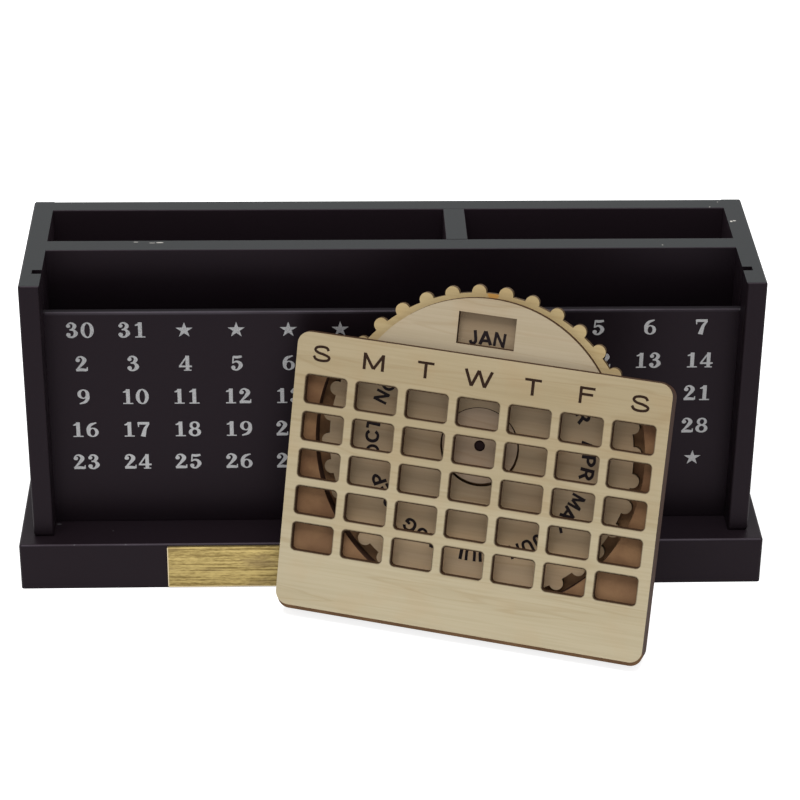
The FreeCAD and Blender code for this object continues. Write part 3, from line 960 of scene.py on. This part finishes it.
# ---------------------------------------------------------------------------
# Letters on the card
# ---------------------------------------------------------------------------
def weekday_letters():
    """S M T W T F S, burnt thin and wide across the top of the face sheet."""
    pen, h = letter_pen, letter_height
    slim = pen * 0.95            # slanted strokes are a little thinner
    top, foot = h / 2 - pen, -h / 2 + pen
    edge = letter_width / 2 - pen
    letters = {
        "S": [through(
            [(0.82 * edge, 0.52 * top), (0.55 * edge, 0.90 * top), (0.0, top),
             (-0.62 * edge, 0.86 * top), (-0.84 * edge, 0.48 * top), (-0.50 * edge, 0.13 * top),
             (0.35 * edge, -0.10 * top), (0.93 * edge, -0.42 * top), (0.75 * edge, -0.85 * top),
             (0.0, foot), (-0.68 * edge, -0.86 * top), (-0.98 * edge, -0.42 * top)],
            [pen] * 12,
        )],
        "M": [
            bar((-edge, -h / 2), (-edge, h / 2), pen),
            bar((edge, -h / 2), (edge, h / 2), pen),
            bar((-edge, h / 2 - 0.2), (0, foot), slim),
            bar((edge, h / 2 - 0.2), (0, foot), slim),
        ],
        "T": [bar((-0.9 * edge, top), (0.9 * edge, top), pen), bar((0, -h / 2), (0, h / 2), pen)],
        "W": [
            bar((-1.35 * edge, h / 2), (-0.68 * edge, -h / 2 + 0.1), slim),
            bar((-0.68 * edge, -h / 2 + 0.1), (0, h / 2 - 0.1), slim),
            bar((0, h / 2 - 0.1), (0.68 * edge, -h / 2 + 0.1), slim),
            bar((0.68 * edge, -h / 2 + 0.1), (1.35 * edge, h / 2), slim),
        ],
        "F": [
            bar((-0.8 * edge, -h / 2), (-0.8 * edge, h / 2), pen),
            bar((-0.8 * edge, top), (0.82 * edge, top), pen),
            bar((-0.8 * edge, 0.05 * h), (0.62 * edge, 0.05 * h), pen),
        ],
    }
    solids = []
    for letter, at in zip("SMTWTFS", letter_places):
        wide = (letter_stretch[letter], 1.0)
        for count, (left, right, closed) in enumerate(letters[letter]):
            moved = (left * wide + at, right * wide + at, closed)
            solids.append(stroke_solid(moved, -mark_sunk, burn_proud + layer_step * count))
    return joined(solids)


def capitals():
    """Each bold capital in a unit-high box: its width, the room after it, and its strokes."""
    def line(*ends):
        return bar(ends[:2], ends[2:], month_pen)

    def curve(*points):
        return through(points, [month_pen] * len(points), 8)

    stem = line(0.1, 0, 0.1, 1)
    bowl = curve((0.1, 0.9), (0.38, 0.9), (0.56, 0.69), (0.38, 0.46), (0.1, 0.46))
    return {
        "A": (1.00, 0.02, [line(0.10, 0, 0.42, 0.96), line(0.74, 0, 0.42, 0.96),
                           line(0.22, 0.28, 0.62, 0.28)]),
        "B": (0.82, 0.15, [stem, bowl, curve((0.1, 0.52), (0.42, 0.52), (0.61, 0.31),
                                             (0.42, 0.1), (0.1, 0.1))]),
        "C": (0.92, 0.10, [curve((0.70, 0.72), (0.58, 0.87), (0.40, 0.91), (0.20, 0.80),
                                 (0.11, 0.5), (0.20, 0.20), (0.40, 0.09), (0.58, 0.13),
                                 (0.70, 0.28))]),
        "D": (0.83, 0.14, [stem, curve((0.1, 0.9), (0.36, 0.9), (0.60, 0.77), (0.68, 0.5),
                                       (0.60, 0.23), (0.36, 0.1), (0.1, 0.1))]),
        "E": (0.78, 0.14, [stem, line(0.1, 0.9, 0.62, 0.9), line(0.1, 0.52, 0.56, 0.52),
                           line(0.1, 0.1, 0.62, 0.1)]),
        "F": (0.70, 0.15, [stem, line(0.1, 0.9, 0.58, 0.9), line(0.1, 0.49, 0.52, 0.49)]),
        "G": (0.94, 0.15, [curve((0.70, 0.74), (0.58, 0.87), (0.41, 0.91), (0.20, 0.80),
                                 (0.11, 0.5), (0.20, 0.20), (0.41, 0.09), (0.62, 0.15),
                                 (0.71, 0.30), (0.71, 0.42)),
                           line(0.46, 0.43, 0.81, 0.43)]),
        "J": (0.63, 0.16, [curve((0.43, 1.0), (0.43, 0.62), (0.42, 0.30), (0.35, 0.13),
                                 (0.23, 0.095), (0.12, 0.15), (0.07, 0.31))]),
        "L": (0.69, 0.12, [stem, line(0.1, 0.1, 0.56, 0.1)]),
        "M": (0.97, 0.16, [stem, line(0.88, 0, 0.88, 1), line(0.14, 0.94, 0.49, 0.16),
                           line(0.84, 0.94, 0.49, 0.16)]),
        "N": (0.83, 0.18, [stem, line(0.74, 0, 0.74, 1), line(0.12, 0.94, 0.72, 0.06)]),
        "O": (0.97, 0.12, [ring((0.44, 0.5), (0.44, 0.51), (0.25, 0.31))]),
        "P": (0.80, 0.13, [stem, bowl]),
        "R": (0.88, 0.12, [stem, bowl, line(0.36, 0.46, 0.62, 0.0)]),
        "S": (0.80, 0.12, [curve((0.54, 0.75), (0.44, 0.87), (0.30, 0.905), (0.13, 0.81),
                                 (0.13, 0.66), (0.30, 0.55), (0.46, 0.44), (0.54, 0.28),
                                 (0.46, 0.14), (0.30, 0.095), (0.14, 0.14), (0.06, 0.27))]),
        "T": (0.80, 0.05, [line(0, 0.9, 0.68, 0.9), line(0.34, 0, 0.34, 0.9)]),
        "U": (0.80, 0.19, [curve((0.1, 1.0), (0.1, 0.62), (0.12, 0.32), (0.22, 0.14),
                                 (0.38, 0.095), (0.54, 0.14), (0.64, 0.32), (0.66, 0.62),
                                 (0.66, 1.0))]),
        "V": (0.92, 0.03, [line(0.06, 1, 0.39, 0.05), line(0.72, 1, 0.39, 0.05)]),
        "Y": (0.92, 0.03, [line(0.05, 1, 0.38, 0.46), line(0.71, 1, 0.38, 0.46),
                           line(0.38, 0, 0.38, 0.5)]),
    }


def month_names():
    """Twelve short month names in a ring, their heads outward, January at the top.

    A letter is stretched sideways to its width. Its middle lies on the ring at an angle of its
    distance from the name's middle over the ring's radius, and it is turned by the same angle.
    """
    alphabet = capitals()
    names = ("JAN", "FEB", "MAR", "APR", "MAY", "JUN", "JUL", "AUG", "SEP", "OCT", "NOV", "DEC")
    solids = []
    for index, name in enumerate(names):
        start = -sum(sum(alphabet[letter][:2]) for letter in name) * month_height / 2
        for letter in name:
            width, room, strokes = alphabet[letter]
            along = start + (width + room) * month_height / 2
            start += (width + room) * month_height
            turn = math.radians(month_turns[index] + 30 * index) + along / month_radius
            right = np.array([math.cos(turn), -math.sin(turn)])
            outward = np.array([math.sin(turn), math.cos(turn)])
            reach = np.concatenate([side[:, 0] for stroke in strokes for side in stroke[:2]])
            middle, wide = (reach.min() + reach.max()) / 2, width / (reach.max() - reach.min())
            for count, (one, other, closed) in enumerate(strokes):
                sides = []
                for side in (one, other):
                    x = (side[:, :1] - middle) * wide * month_height
                    y = (side[:, 1:] - 0.5) * month_height + month_radius
                    sides.append(dial_middle + x * right + y * outward)
                lift = dial_face_z + burn_proud + layer_step * count
                solids.append(stroke_solid((*sides, closed), dial_face_z - mark_sunk, lift))
    return joined(solids)


# ---------------------------------------------------------------------------
# Put together
# ---------------------------------------------------------------------------
def dress(material, *nodes):
    """Give CAD nodes a material."""
    for node in nodes:
        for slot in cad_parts[node].material_slots:
            slot.material = material


def on_dial(degrees, radius):
    """Point of the flat card at a clock angle and a radius from the dial's centre."""
    turn = math.radians(degrees)
    return (
        dial_middle[0] + radius * math.sin(turn),
        dial_middle[1] + radius * math.cos(turn),
        dial_face_z,
    )


bpy.context.scene.view_settings.view_transform = "Standard"
stand_camera()
light_world()
hang_lamp()
lay_floor()

dress(black_paint(), "base_board", "left_side", "right_side", "back_panel", "middle_panel",
      "rear_divider", "number_panel")
dress(brushed_brass(), "name_plate")
dress(plain_with_specks("zinc_steel", steel_dark, steel_light, 0.4, 1.0),
      "base_brads", "panel_brads")
dress(birch("birch_face", face_low, char_brown, scorched_and_shaded_windows=True, upper=face_high),
      "window_plate")
dress(birch("birch_cover", cover_pale, char_brown), "month_cover")
marks = [(colour, strength, on_dial(angle, out), size, squeeze)
         for colour, strength, angle, out, size, squeeze in dial_stains_and_painted_shade]
dress(birch("birch_dial", dial_pale, char_light, middle=dial_painted_shade, marks=marks), "month_dial")
dress(birch("birch_hub", hub_pale, char_brown), "hub_washer")
dress(brown_board("brown_board"), "lower_spacer", "card_back")
# the upper spacer gets a darker copy of the board: painted shade
dress(brown_board("brown_board_painted_shade", board_painted_shade), "upper_spacer")
dress(plain_with_specks("dark_pin", pin_dark, pin_light, 0.5), "dial_pin")

piece("number_print", *number_print(), BOARD, number_ink(), "number_board")
burnt = plain_with_specks("burnt_letters", burnt_dark, burnt_light, 0.7)
piece("weekday_letters", *weekday_letters(), CARD, burnt, "calendar_card")
month_ink = plain_with_specks("month_ink", month_dark, month_light, 0.6)
piece("month_names", *month_names(), CARD, month_ink, "dial")
